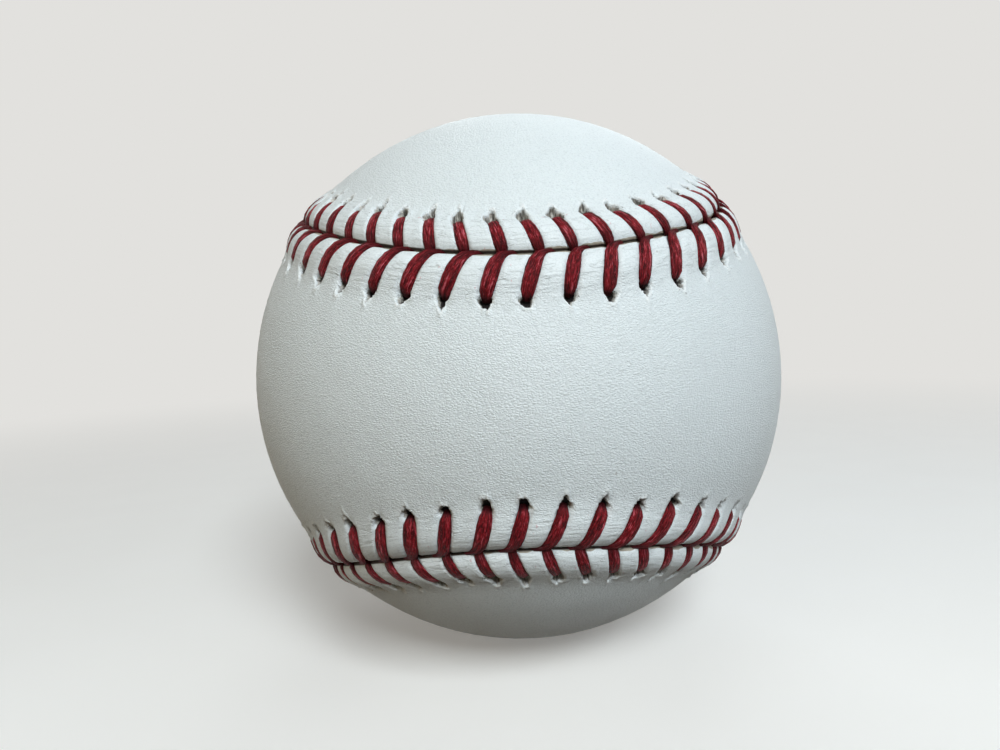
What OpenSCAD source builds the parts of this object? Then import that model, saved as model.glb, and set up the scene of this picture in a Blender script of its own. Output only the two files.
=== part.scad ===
// Baseball. A cork and rubber pill, wound with wool and cotton, is closed in
// two figure-eight leather panels, sewn edge to edge with waxed red thread.
// The origin is the centre of the ball. The neck of panel A faces -Y with its
// long direction on X, and the neck of panel B faces +Y with its long
// direction on Z, so the ball rests on the plain leather of a lobe of panel B.

/* [Ball] */
// Radius of the ball over its leather, away from the seam
cover_r = 36.9; // [36.5:0.1:37.4]
// Thickness of the leather
leather_t = 1.25; // [1.1:0.05:1.4]
// Room between the flat facets of the leather and the wound core
core_room = 0.2; // [0.15:0.05:0.3]

/* [Pill] */
// Radius of the cork and rubber core
pill_core_r = 10.3; // [9.5:0.1:11]
// Thickness of the two black rubber half shells
black_t = 4; // [3.5:0.1:4.5]
// Thickness of the red washer between the half shells
washer_t = 1.2; // [0.8:0.1:1.6]
// Thickness of the red rubber cover of the pill
red_t = 2.4; // [2:0.1:2.8]

/* [Windings] */
// Thickness of the white wool winding
white_wool_t = 1.75; // [1.5:0.05:2]
// Thickness of the outer grey wool winding
outer_wool_t = 2.2; // [2:0.05:2.4]
// Thickness of the fine cotton winding
cotton_t = 0.5; // [0.4:0.05:0.6]
// Thickness of the cement that the leather is laid on
cement_t = 0.15; // [0.1:0.05:0.2]

/* [Seam] */
// Stitches along the whole seam
stitches = 108; // [100:4:116]
// Third wave of the seam, as a share of the first: more of it narrows the necks
waist_share = 0.49; // [0.46:0.01:0.52]
// Height of the seam's saddle, as a share of the first wave
saddle_share = 1.13; // [1.1:0.01:1.16]
// Gap between the two leather edges
seam_gap = 0.3; // [0.2:0.05:0.4]
// Depth of the leather edges below the ball's surface, between two stitches
edge_sink = 0.3; // [0.2:0.05:0.4]
// Distance from the seam to the crest of the raised lip
crest_side = 2.1; // [1.9:0.1:2.4]
// Height of the lip where it swells between two stitches
puff_h = 0.8; // [0.6:0.05:0.9]
// Height of the lip where a stitch pulls it down
pinch_h = 0.25; // [0.15:0.05:0.3]
// Distance from the seam to where the raised lip has run out
band_side = 8.6; // [8.2:0.1:9.2]

/* [Stitching] */
// Mean distance from the seam to the stitch holes
hole_side = 4.5; // [4.3:0.1:4.7]
// How much further out the holes are at a neck, and nearer round a lobe
hole_sway = 0.45; // [0.3:0.05:0.5]
// Width of a stitch hole, along the seam
hole_w = 1.8; // [1.7:0.05:1.9]
// Length of a stitch hole, across the seam
hole_l = 1.7; // [1.6:0.05:1.9]
// How far along the seam a stitch runs on its way from its hole
stitch_lead = 1.6; // [1.3:0.1:1.8]
// Width of the flattened thread
thread_w = 1.3; // [1.2:0.05:1.35]
// Thickness of the flattened thread
thread_t = 0.6; // [0.5:0.05:0.65]
// Clearance of the thread over the leather that it crosses
thread_clear = 0.1; // [0.06:0.01:0.12]
// Depth of the thread's middle where it ends in its hole
hole_dip = 0.25; // [0.2:0.05:0.35]

/* [Hidden] */
$fn = 96;

// Radii of the layers, from the leather inwards and from the core outwards
leather_in_r = cover_r - leather_t;
cement_r = leather_in_r - core_room;
cotton_r = cement_r - cement_t;
outer_wool_r = cotton_r - cotton_t;
white_wool_r = outer_wool_r - outer_wool_t;
inner_wool_r = white_wool_r - white_wool_t;
black_r = pill_core_r + black_t;
pill_r = black_r + red_t;

// Places across the lip, as shares of the crest's distance
lip_round_share = 0.42;
// Height of the swell there and at the holes, as shares of its crest
lip_round_rise_share = 0.7;
hole_rise_share = 0.35;
// Rows of facets from one edge of a panel's plain middle to the other
middle_rows = 8;
// How far the thread's end stands out from the middle of its hole, as a share of the hole
hole_reach_share = 0.15;
// Where the thread's other end meets the seam, between the two leather edges
thread_in_side = (seam_gap + thread_t) / 2;

// Steps of the table that turns lengths along the seam into places on it
quarter = 90;
table_steps = 180;
table_step = quarter / table_steps;

function unit(v) = v / norm(v);

// Direction of the seam at turn s, in degrees, once round for s from 0 to 360
function seam_dir(s) = unit([
    sin(s) + waist_share * sin(3 * s),
    -saddle_share * cos(2 * s),
    cos(s) - waist_share * cos(3 * s)
]);

// Length from turn 0 on a unit ball against the turn, over a quarter of the seam
seam_table = [
    for (
        i = 0, run = 0;
        i <= table_steps;
        run = run + norm(seam_dir((i + 1) * table_step) - seam_dir(i * table_step)), i = i + 1
    ) [run, i * table_step]
];
quarter_run = seam_table[table_steps][0];
quarter_stitches = stitches / 4;
stitch_pitch = quarter_run * cover_r / quarter_stitches;

// Turn at place u, counted in stitches from the middle of panel A's upper neck edge
function turn_at(u) =
    let (q = u / quarter_stitches, whole = floor(q))
    quarter * whole + lookup((q - whole) * quarter_run, seam_table);

// Point at distance side from the seam into panel A, at radius r, beside turn s
function beside(s, side, r) =
    let (
        out = seam_dir(s),
        along = unit(seam_dir(s + table_step) - seam_dir(s - table_step)),
        inward = cross(along, out),
        a = side / cover_r * 180 / PI
    )
    r * (out * cos(a) + inward * sin(a));

// Holes sit further out beside the necks of their own panel, at turns 0 and 180
function hole_at(u) = hole_side + hole_sway * cos(2 * turn_at(u));

// Share of the stitch's lead at a distance from the seam: the hole lags most
function lag_share(side, hole) =
    side < hole ? side / hole : max(0, (band_side - side) / (band_side - hole));

// Point of panel A at place u and distance side, slanted as the stitches are
function panel_point(u, side, r) =
    beside(turn_at(u - lag_share(side, hole_at(u)) * stitch_lead / stitch_pitch), side, r);

// One stitch has three columns: both sides of its thread, and the swell after it
stitch_mid = 0.5;
columns = [
    stitch_mid - hole_w / stitch_pitch / 2,
    stitch_mid + hole_w / stitch_pitch / 2,
    1
];

function column_u(k, c) = k + columns[c];

// The arc of each stitch's leg: where it starts, passes the crest and ends
function leg_points(k) =
    let (u = k + stitch_mid) [
        panel_point(u, hole_at(u) + hole_l * hole_reach_share, cover_r - hole_dip),
        panel_point(u, crest_side, cover_r + pinch_h + thread_clear + thread_t / 2),
        panel_point(u, thread_in_side, cover_r)
    ];
// Centre of the circle through three points
function circle_centre(p) =
    let (a = p[0] - p[1], b = p[2] - p[1], n = cross(a, b))
    p[1] + cross((a * a) * b - (b * b) * a, n) / (2 * (n * n));
leg_arcs = [
    for (k = [0 : stitches - 1])
        let (p = leg_points(k), c = circle_centre(p)) [c, norm(p[0] - c)]
];

// Radius at which the leather lies under a leg, on a ball about the leg's centre
function seat_r(k, side) =
    let (
        c = leg_arcs[k][0],
        under = leg_arcs[k][1] - thread_t / 2 - thread_clear,
        out = unit(panel_point(k + stitch_mid, side, 1)),
        reach = out * c
    )
    reach + sqrt(under * under - c * c + reach * reach);

// The leather is seated under each leg, and swells by a height between two of them
function outer_r(k, c, side, rise) = c == 2 ? cover_r + rise : seat_r(k, side);

// Rings of the panel, each from a function of the stitch and the column
function ring_point(k, c, side, rise) =
    panel_point(column_u(k, c), side, outer_r(k, c, side, rise));
function edge_point(k, c) = ring_point(k, c, seam_gap / 2, -edge_sink);
function round_point(k, c) =
    ring_point(k, c, crest_side * lip_round_share, puff_h * lip_round_rise_share);
function crest_point(k, c) = ring_point(k, c, crest_side, puff_h);
function near_point(k, c) =
    ring_point(k, c, hole_at(column_u(k, c)) - hole_l / 2, puff_h * hole_rise_share);
function far_point(k, c) =
    let (u = column_u(k, c))
    panel_point(u, hole_at(u) + hole_l / 2, cover_r + (c == 2 ? puff_h : pinch_h) * hole_rise_share);
function under_point(k, c, end) =
    let (u = column_u(k, c)) panel_point(u, hole_at(u) + end * hole_l / 2, leather_in_r);
function band_point(k, r) = panel_point(k + 1, band_side, r);

function ring(count, r) = [for (k = [0 : stitches - 1]) for (c = [0 : count - 1]) r(k, c)];

// Points of one side of the panel's plain middle, on arcs from edge to edge
half_columns = quarter_stitches - 1;
function middle_points(r) = [
    for (k = [-half_columns : half_columns])
        let (top = unit(band_point(k - 1, 1)), low = unit(band_point(2 * quarter_stitches - k - 1, 1)))
        let (a = acos(top * low))
        for (i = [1 : middle_rows - 1])
            r * (top * sin(a * (1 - i / middle_rows)) + low * sin(a * i / middle_rows)) / sin(a)
];

// All points of panel A, ring after ring
panel_rings = [
    ring(3, function(k, c) edge_point(k, c)),
    ring(3, function(k, c) round_point(k, c)),
    ring(3, function(k, c) crest_point(k, c)),
    ring(3, function(k, c) near_point(k, c)),
    ring(3, function(k, c) far_point(k, c)),
    ring(1, function(k, c) band_point(k, cover_r)),
    middle_points(cover_r),
    ring(1, function(k, c) panel_point(k + 1, seam_gap / 2, leather_in_r)),
    ring(2, function(k, c) under_point(k, c, -1)),
    ring(2, function(k, c) under_point(k, c, 1)),
    ring(1, function(k, c) band_point(k, leather_in_r)),
    middle_points(leather_in_r)
];
panel_points = [for (r = panel_rings) each r];

// First point of each ring
ring_sizes = [for (r = panel_rings) len(r)];
ring_starts = [for (i = 0, at = 0; i < len(ring_sizes); at = at + ring_sizes[i], i = i + 1) at];

// Names for the rings' places in the lists above, each one after the last
OUT_EDGE = 0;
OUT_ROUND = OUT_EDGE + 1;
OUT_CREST = OUT_ROUND + 1;
OUT_HOLE_NEAR = OUT_CREST + 1;
OUT_HOLE_FAR = OUT_HOLE_NEAR + 1;
OUT_BAND = OUT_HOLE_FAR + 1;
OUT_MIDDLE = OUT_BAND + 1;
IN_EDGE = OUT_MIDDLE + 1;
IN_HOLE_NEAR = IN_EDGE + 1;
IN_HOLE_FAR = IN_HOLE_NEAR + 1;
IN_BAND = IN_HOLE_FAR + 1;
IN_MIDDLE = IN_BAND + 1;

// Index of a ring's point: stitch k, column c of count columns
function at(r, k, c, count) =
    ring_starts[r] + ((k + stitches) % stitches) * count + c;

// Two triangles for four corners, without those that have shrunk to a line
function quad(a, b, c, d) = [
    if (a != b && b != c) [a, b, c],
    if (a != d && c != d) [a, c, d]
];
function turned(faces) = [for (f = faces) [f[2], f[1], f[0]]];

// Faces between two rings of three columns, with or without the thread's own cells
function strip(near, far, with_thread) = [
    for (k = [0 : stitches - 1]) each [
        if (with_thread) each
            quad(at(near, k, 0, 3), at(near, k, 1, 3), at(far, k, 1, 3), at(far, k, 0, 3)),
        each quad(at(near, k, 1, 3), at(near, k, 2, 3), at(far, k, 2, 3), at(far, k, 1, 3)),
        each quad(at(near, k, 2, 3), at(near, k + 1, 0, 3), at(far, k + 1, 0, 3), at(far, k, 2, 3))
    ]
];

// Faces from a ring of two or three columns to a ring of one
function narrowed(near, far, count) = [
    for (k = [0 : stitches - 1])
        let (before = at(far, k - 1, 0, 1), after = at(far, k, 0, 1)) each [
            each quad(at(near, k, 0, count), at(near, k, 1, count), after, before),
            if (count == 2) [at(near, k, 1, 2), at(near, k + 1, 0, 2), after],
            if (count == 3) [at(near, k, 1, 3), at(near, k, 2, 3), after],
            if (count == 3) [at(near, k, 2, 3), at(near, k + 1, 0, 3), after]
        ]
];

// Faces of the plain middle, between the band ring and the points inside it
function middle_id(band, middle, k, i) =
    abs(k) > half_columns || i == 0 ? at(band, k - 1, 0, 1)
    : i == middle_rows ? at(band, 2 * quarter_stitches - k - 1, 0, 1)
    : ring_starts[middle] + (k + half_columns) * (middle_rows - 1) + i - 1;
function middle_faces(band, middle) = [
    for (k = [-quarter_stitches : quarter_stitches - 1])
        for (i = [0 : middle_rows - 1])
            each quad(
                middle_id(band, middle, k, i), middle_id(band, middle, k + 1, i),
                middle_id(band, middle, k + 1, i + 1), middle_id(band, middle, k, i + 1)
            )
];

// Walls of the holes, from the outside down to the core
function hole_walls() = [
    for (k = [0 : stitches - 1])
        let (
            top = [
                at(OUT_HOLE_NEAR, k, 0, 3), at(OUT_HOLE_NEAR, k, 1, 3),
                at(OUT_HOLE_FAR, k, 1, 3), at(OUT_HOLE_FAR, k, 0, 3)
            ],
            low = [
                at(IN_HOLE_NEAR, k, 0, 2), at(IN_HOLE_NEAR, k, 1, 2),
                at(IN_HOLE_FAR, k, 1, 2), at(IN_HOLE_FAR, k, 0, 2)
            ]
        )
        for (i = [0 : 3])
            each quad(top[i], top[(i + 1) % 4], low[(i + 1) % 4], low[i])
];

// Faces of the underside between the two rings of holes
function between_holes() = [
    for (k = [0 : stitches - 1])
        each quad(
            at(IN_HOLE_NEAR, k, 1, 2), at(IN_HOLE_NEAR, k + 1, 0, 2),
            at(IN_HOLE_FAR, k + 1, 0, 2), at(IN_HOLE_FAR, k, 1, 2)
        )
];

// Faces from the underside's single ring at the edge out to its ring of holes
function edge_to_holes() = [
    for (k = [0 : stitches - 1])
        let (before = at(IN_EDGE, k - 1, 0, 1), after = at(IN_EDGE, k, 0, 1)) each [
            each quad(before, after, at(IN_HOLE_NEAR, k, 1, 2), at(IN_HOLE_NEAR, k, 0, 2)),
            [after, at(IN_HOLE_NEAR, k + 1, 0, 2), at(IN_HOLE_NEAR, k, 1, 2)]
        ]
];

panel_faces = concat(
    strip(OUT_EDGE, OUT_ROUND, true),
    strip(OUT_ROUND, OUT_CREST, true),
    strip(OUT_CREST, OUT_HOLE_NEAR, true),
    strip(OUT_HOLE_NEAR, OUT_HOLE_FAR, false),
    narrowed(OUT_HOLE_FAR, OUT_BAND, 3),
    middle_faces(OUT_BAND, OUT_MIDDLE),
    turned(narrowed(OUT_EDGE, IN_EDGE, 3)),
    turned(edge_to_holes()),
    turned(between_holes()),
    turned(narrowed(IN_HOLE_FAR, IN_BAND, 2)),
    turned(middle_faces(IN_BAND, IN_MIDDLE)),
    hole_walls()
);

// The seam's own symmetry: a quarter turn about Y and a mirror carry panel A to panel B
module as_panel_b() mirror([0, 1, 0]) rotate([0, 90, 0]) children();

// A shell between two radii about the centre
module shell(outer, inner) difference() {
    sphere(outer);
    sphere(inner);
}

module pill_core() color("#a97f52") sphere(pill_core_r);

// Half of the black shell, above the washer
module black_half() intersection() {
    shell(black_r, pill_core_r);
    translate([-black_r, -black_r, washer_t / 2]) cube([2 * black_r, 2 * black_r, black_r]);
}

module pill_black_shell_top() color("#26262a") black_half();

module pill_black_shell_bottom() color("#26262a") mirror([0, 0, 1]) black_half();

module pill_washer() color("#a8322c") intersection() {
    shell(black_r, pill_core_r);
    cube([2 * black_r, 2 * black_r, washer_t], center = true);
}

module pill_red_cover() color("#b23a34") shell(pill_r, black_r);

module winding_inner_grey_wool() color("#8d8c88") shell(inner_wool_r, pill_r);

module winding_white_wool() color("#dcd8cc") shell(white_wool_r, inner_wool_r);

module winding_outer_grey_wool() color("#98968f") shell(outer_wool_r, white_wool_r);

module winding_fine_cotton() color("#e8e4da") shell(cotton_r, outer_wool_r);

module cement_coat() color("#cfc3a2") shell(cement_r, cotton_r);

module cover_panel_a() color("#e4e6e4") polyhedron(panel_points, panel_faces, convexity = 6);

module cover_panel_b() as_panel_b() cover_panel_a();

// Section of the thread, flattened where it is pulled down on the leather
module thread_section() {
    round_at = (thread_w - thread_t) / 2;
    square([thread_t, 2 * round_at], center = true);
    for (side = [-round_at, round_at]) translate([0, side]) circle(d = thread_t);
}

// One visible leg of a stitch: a flattened arc out of its hole, over the lip
// and down into the seam
module stitch_leg(k) {
    points = leg_points(k);
    centre = leg_arcs[k][0];
    start = points[0] - centre;
    end = points[2] - centre;
    x = unit(start);
    z = unit(cross(start, points[1] - centre));
    y = cross(z, x);
    multmatrix([
        [x[0], y[0], z[0], centre[0]],
        [x[1], y[1], z[1], centre[1]],
        [x[2], y[2], z[2], centre[2]]
    ])
        rotate_extrude(angle = atan2(end * y, end * x))
            translate([leg_arcs[k][1], 0]) thread_section();
}

// A strand changes panels at every stitch, so it takes every second leg of each
module strand(first) color("#9c1c28") {
    $fn = 48;
    for (k = [first : 2 : stitches - 1]) stitch_leg(k);
    as_panel_b() for (k = [first : 2 : stitches - 1]) stitch_leg(k);
}

module thread_strand_one() strand(0);

module thread_strand_two() strand(1);

pill_core();
pill_black_shell_top();
pill_black_shell_bottom();
pill_washer();
pill_red_cover();
winding_inner_grey_wool();
winding_white_wool();
winding_outer_grey_wool();
winding_fine_cotton();
cement_coat();
cover_panel_a();
cover_panel_b();
thread_strand_one();
thread_strand_two();
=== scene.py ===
# %% [markdown]
# This lesson dresses the solid model of a baseball. The solids have the right sizes and places, and
# the leather and the thread are worked out from the same seam curve, only much finer. Shapes are in
# millimetres until their mesh is made. Materials, stage and lamps are in metres from the start.

import bpy
import numpy as np
from mathutils import Matrix


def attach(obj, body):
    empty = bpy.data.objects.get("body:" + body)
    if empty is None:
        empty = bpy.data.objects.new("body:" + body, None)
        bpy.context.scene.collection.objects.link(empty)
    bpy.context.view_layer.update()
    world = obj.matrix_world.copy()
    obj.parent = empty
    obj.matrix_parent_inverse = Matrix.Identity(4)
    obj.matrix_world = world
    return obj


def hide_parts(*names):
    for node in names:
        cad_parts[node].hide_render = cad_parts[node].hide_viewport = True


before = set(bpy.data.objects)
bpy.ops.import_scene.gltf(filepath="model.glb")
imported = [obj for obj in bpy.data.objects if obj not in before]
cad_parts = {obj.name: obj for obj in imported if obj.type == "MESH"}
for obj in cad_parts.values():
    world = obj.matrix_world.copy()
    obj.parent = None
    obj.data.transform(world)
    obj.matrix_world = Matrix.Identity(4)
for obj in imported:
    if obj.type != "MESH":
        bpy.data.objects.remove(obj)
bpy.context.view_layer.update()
print("Solid pieces:", sorted(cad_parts))

# %% [markdown]
# The camera comes first, so that every later look is judged from the right place. The photograph is
# a close one, about a hand's width from the ball, and so the lens is wide and the ball hides more
# of itself than half. The camera stands a little above the middle, with a slight roll. Where it
# stands was found from the stitches: a seam has only one shape, so their places in the picture fix
# the distance and the turn of the ball.

# %% Set up the camera
MM = 0.001
camera_distance = 104.0
camera_right = (0.9989, -0.0243, -0.0402)
camera_up = (0.0421, 0.0818, 0.9958)
camera_back = (-0.0209, -0.9964, 0.0827)
focal_pixels = 693.0
picture_width = 1000.0
ball_middle_right_of_middle = 18.8
ball_middle_below_middle = 1.0


def add_object(name, data):
    """A new object in the scene, at the origin."""
    piece = bpy.data.objects.new(name, data)
    bpy.context.scene.collection.objects.link(piece)
    return piece


def pose_matrix(right, up, back, place):
    """An object's pose: its three axes and its place in metres, each in a column."""
    pose = np.eye(4)
    pose[:3] = np.stack([right, up, back, place], axis=-1)
    return Matrix(pose.tolist())


camera_data = bpy.data.cameras.new("camera")
camera = add_object("camera", camera_data)
camera_place = np.array(camera_back) * camera_distance * MM
camera.matrix_world = pose_matrix(camera_right, camera_up, camera_back, camera_place)
camera_data.sensor_width = 36.0
camera_data.lens = focal_pixels / picture_width * camera_data.sensor_width
camera_data.shift_x = -ball_middle_right_of_middle / picture_width
camera_data.shift_y = ball_middle_below_middle / picture_width
camera_data.clip_start = 0.005
camera_data.clip_end = 20.0
bpy.context.scene.camera = camera
print("Lens in mm:", round(camera_data.lens, 2))

# %% [markdown]
# The seam is one closed curve on the ball. Seen along an axis it is a circle that carries a wave
# three times as fast, which draws in the two necks, and the ball's third direction goes up and down
# twice a turn, like the edge of a saddle. Stitches are spread evenly along its length, so a table
# of running lengths turns a stitch number into a place on the curve.

# %% Work out the seam
ball_r = 36.9
leather_t = 1.25
inner_r = ball_r - leather_t
stitches = 108
waist_share = 0.49
saddle_share = 1.13
full_turn = 2.0 * np.pi
small_turn = 0.002
table_rows = 5761


def unit(v):
    """Each vector divided by its own length."""
    return v / np.linalg.norm(v, axis=-1, keepdims=True)


def ease(x):
    """0 below 0, 1 above 1, and 3x^2 - 2x^3 between them."""
    x = np.clip(x, 0.0, 1.0)
    return x * x * (3.0 - 2.0 * x)


def seam_direction(turn):
    """Direction of the seam from the ball's middle at a turn t in radians.

    Across it is sin t + w sin 3t, up it is cos t - w cos 3t, and in depth it is -k cos 2t.
    """
    x = np.sin(turn) + waist_share * np.sin(3 * turn)
    y = -saddle_share * np.cos(2 * turn)
    z = np.cos(turn) - waist_share * np.cos(3 * turn)
    return unit(np.stack([x, y, z], axis=-1))


def seam_along(turn):
    """The way that the seam runs at a turn: from a place just before it to one just after it."""
    return unit(seam_direction(turn + small_turn) - seam_direction(turn - small_turn))


table_turns = np.linspace(0.0, full_turn, table_rows)
table_steps = np.linalg.norm(np.diff(seam_direction(table_turns), axis=0), axis=1)
table_run = np.concatenate([[0.0], np.cumsum(table_steps)])
table_places = table_run / table_run[-1] * stitches
seam_length = table_run[-1] * ball_r
stitch_pitch = seam_length / stitches


def turn_at(place):
    """Turn at a place counted in stitches, by looking up its length along the seam."""
    return np.interp(np.mod(place, stitches), table_places, table_turns)


print("Seam length in mm:", round(seam_length, 1), "pitch:", round(stitch_pitch, 3))

# %% [markdown]
# On the leather a point is named by two numbers: its place along the seam, counted in stitches, and
# its distance from the seam. A stitch leaves its hole a little behind the place where it reaches
# the seam, so the lines of constant place are slanted in the same way, and the leather's mesh
# follows the thread. On one panel the thread bends most beside the seam and on the other beside the
# hole, and past the holes the lines run straight.

# %% Find a point beside the seam
band_side = 8.6
hole_side = 4.5
hole_sway = 0.45
stitch_lead = 1.6


def hole_at(place):
    """Distance of the holes from the seam, side + sway cos 2t: most beside a panel's neck."""
    return hole_side + hole_sway * np.cos(2.0 * turn_at(place))


def lag_at(side, hole, bend):
    """How far a point lags, in mm: lead (x + bend (x - x^2)), where x is side / hole, 0 to 1."""
    x = np.clip(side / hole, 0.0, 1.0)
    return stitch_lead * (x + bend * (x - x * x))


def beside_seam(place, side):
    """Direction of a point on the seam's inner side, at a distance from the seam.

    It is out cos a + inward sin a: out points at the seam, inward is square to out and to the seam,
    and the angle a is side / ball_r.
    """
    turn = turn_at(place)
    out = seam_direction(turn)
    inward = np.cross(seam_along(turn), out)
    angle = np.asarray(side / ball_r)[..., None]
    return out * np.cos(angle) + inward * np.sin(angle)


def leather_direction(place, side, bend):
    """The same, slanted as the stitches are: the place is taken back by the lag."""
    return beside_seam(place - lag_at(side, hole_at(place), bend) / stitch_pitch, side)


print("Holes lie at", round(float(hole_at(0.0)), 2), "to", round(float(hole_at(27.0)), 2), "mm")

# %% [markdown]
# No two stitches of a hand-sewn ball are alike. Each stitch gets its own small shifts and swells
# from a seeded generator, once for either panel, and both the leather and the thread read them, so
# a leg still ends in its own hole.

# %% Vary the stitches
shift_end = 1.3


def stitch_variety(seed, **panel_traits):
    """A panel's own traits, and small seeded differences as arrays with a number a stitch."""
    chance = np.random.default_rng(seed)
    return {
        **panel_traits,
        "hole_along": chance.normal(0.0, 0.10, stitches).clip(-0.22, 0.22),
        "hole_out": chance.normal(0.0, 0.13, stitches).clip(-0.28, 0.28),
        "hole_length": chance.uniform(0.85, 1.2, stitches),
        "hole_width": chance.uniform(0.85, 1.15, stitches),
        "ragged": chance.uniform(0.0, full_turn, (3, stitches)),
        "swell": chance.uniform(0.85, 1.1, stitches),
        "width": chance.normal(1.0, 0.06, stitches).clip(0.86, 1.14),
        "roll": chance.normal(0.0, 0.05, stitches),
        "meet_along": chance.normal(0.0, 0.08, stitches).clip(-0.15, 0.15),
        "pattern": chance.uniform(0.0, 40.0, stitches),
    }


def stitch_shift(variety, stitch, share):
    """How far a stitch lies off its even place, in mm along the seam.

    It is its hole's shift times the share of the way to the hole, and its meeting point's shift
    times the rest.
    """
    at_hole = variety["hole_along"][stitch] * np.clip(share, 0.0, shift_end)
    return at_hole + variety["meet_along"][stitch] * (1.0 - np.clip(share, 0.0, 1.0))


# The shade painted in a panel's holes is full on A and lighter on B.
varieties = {
    "a": stitch_variety(11, bend=0.5, leg_width=0.97, hole_depth=1.05, hole_dark=1.0,
                        hole_half_width=0.56),
    "b": stitch_variety(29, bend=-0.25, leg_width=0.80, hole_depth=0.85, hole_dark=0.6,
                        hole_half_width=0.74),
}
print("Widest shift of a hole along the seam:", varieties["a"]["hole_along"].max().round(2))

# %% [markdown]
# A seam that is sewn by hand doesn't keep to its curve either. Here and there the sewer has pulled
# it a millimetre or two aside, and the leather and the thread both follow. So the dressed pieces are
# worked out on the ideal curve first, and then all their points slide over the ball together.

# %% Pull the seam aside
# A pull has its stitch, and how far it moves that place along the seam and inward of it.
pulls = [(-10.5, -1.6, 1.7), (7.5, 1.6, 0.6), (60.5, 1.2, -0.4), (52.0, 0.6, -0.2)]
pull_reach = 12.0


def pulled_aside(points):
    """Points in mm moved over the ball at the radius they had.

    Each pull moves a point by its lengths along and inward, times exp(-(distance / reach)^2).
    """
    radius = np.linalg.norm(points, axis=-1, keepdims=True)
    direction = points / radius
    move = np.zeros_like(points)
    for place, along_by, inward_by in pulls:
        turn = turn_at(place)
        out = seam_direction(turn)
        along = seam_along(turn)
        pull = along * along_by + np.cross(along, out) * inward_by
        apart = ((direction - out) ** 2).sum(axis=-1, keepdims=True)
        move = move + pull * np.exp(-(apart * (ball_r / pull_reach) ** 2))
    return unit(direction + move / ball_r) * radius


print("Pulls:", len(pulls))

# %% [markdown]
# The leather's relief is where a ball looks sewn. Between two stitches the edge rolls up into a lip
# and swells, under each stitch the thread presses it down, and at the end of each stitch the awl
# has left a hole, longer than the thread is wide, with a small lip pushed up beyond it. All of it
# is one height over the plain ball, worked out for whole arrays of places and distances.

# %% Measure the lip, the seat and the hole
# The lip: where its edge and its crest lie, and how the swell runs out beyond the crest.
edge_side = 0.09
edge_sink = 0.3
crest_side = 2.1
puff_h = 0.8
bell_reach = 2.3
bell_fade_side = 5.5

# The seat under a stitch, and the slope of its sides, in widths of a leg.
pinch_h = 0.25
press_depth = 0.5
pinched_edge_sink = 0.12
seat_back_reach = 1.8
press_flat = 0.36
press_slope = 0.72

# The hole. Its wall, its rim and the pulled skin round it are given in rings, where 1 is its edge.
hole_half_length = 0.98
hole_centre_out = 0.20
hole_peak = 0.7
ragged_waves = ((2, 0.10), (3, 0.13), (5, 0.11))
pit_floor = 0.72
pit_wall = 0.40
beyond_slope = 0.9
far_wall_rise = 0.25
rim_ring = 1.27
rim_spread = 0.17
rim_h = 0.18
pulled_ring = 1.1
pulled_spread = 1.1
deepest = -1.15
print("Hole in mm:", 2.0 * hole_half_length, "long and at most", -deepest, "deep")

# %% Shape the leather's height


def lip_curve(side, low, high):
    """A quarter ellipse from height low at the cut edge up to height high at the lip's crest."""
    x = np.clip((crest_side - side) / (crest_side - edge_side), 0.0, 1.0)
    return low + (high - low) * np.sqrt(1.0 - x * x)


def swell_height(side):
    """Lip between two stitches: the quarter ellipse, then a bell that runs out towards the band."""
    bell = puff_h * np.exp(-(((side - crest_side) / bell_reach) ** 2))
    bell = bell * (1.0 - ease((side - bell_fade_side) / (band_side - bell_fade_side)))
    return np.where(side < crest_side, lip_curve(side, -edge_sink, puff_h), bell)


def seat_height(side, hole):
    """Leather under a stitch: a lower lip, then an eased fall to its hole and an eased way back."""
    fall = pinch_h - press_depth * ease((side - crest_side) / (hole - crest_side))
    back = (pinch_h - press_depth) * (1.0 - ease((side - hole) / seat_back_reach))
    lip = lip_curve(side, -edge_sink - pinched_edge_sink, pinch_h)
    return np.where(side < crest_side, lip, np.where(side < hole, fall, back))


def leather_relief(place, side, variety):
    """Height over the ball and four masks: hole, rim, pulled skin and painted shade in the pit.

    Height = seat * press + swell * (1 - press) - pit + rim, where press is 1 along a stitch and
    falls to 0 between stitches, and pit and rim are rings round a ragged ellipse.
    """
    stitch = np.floor(place).astype(int) % stitches
    gap = np.round(place).astype(int) % stitches
    hole = hole_at(place)
    from_stitch = (place - np.floor(place) - 0.5) * stitch_pitch
    across = from_stitch - stitch_shift(variety, stitch, side / hole)
    press = 1.0 - ease((np.abs(across) / variety["leg_width"] - press_flat) / press_slope)
    swell = swell_height(side) * variety["swell"][gap]
    height = seat_height(side, hole) * press + swell * (1.0 - press)
    out = side - hole - variety["hole_out"][stitch]
    y = (out - hole_centre_out) / (hole_half_length * variety["hole_length"][stitch])
    peaked = 1.0 + hole_peak * np.clip(y, 0.0, 1.0)
    x = across * peaked / (variety["hole_half_width"] * variety["hole_width"][stitch])
    angle = np.arctan2(y, x)
    ragged = 1.0
    for (waves, share), start in zip(ragged_waves, variety["ragged"]):
        ragged = ragged + share * np.sin(waves * angle + start[stitch])
    ring = np.hypot(x, y) / ragged
    hole_mask = 1.0 - ease((ring - pit_floor) / pit_wall)
    beyond = ease(0.5 + beyond_slope * y)
    pit = hole_mask * (1.0 - far_wall_rise * beyond)
    rim = np.exp(-(((ring - rim_ring) / rim_spread) ** 2)) * beyond
    height = height - variety["hole_depth"] * pit + rim_h * rim
    pulled = np.exp(-((np.maximum(ring - pulled_ring, 0.0) / pulled_spread) ** 2))
    # The last mask is where shade is painted in the hole, fully on panel A and less on B.
    masks = [hole_mask, rim, pulled * (1.0 - hole_mask), pit * variety["hole_dark"]]
    return np.maximum(height, deepest), np.stack(masks, axis=-1)


print("Swell at its crest:", float(swell_height(np.array(crest_side))))

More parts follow.
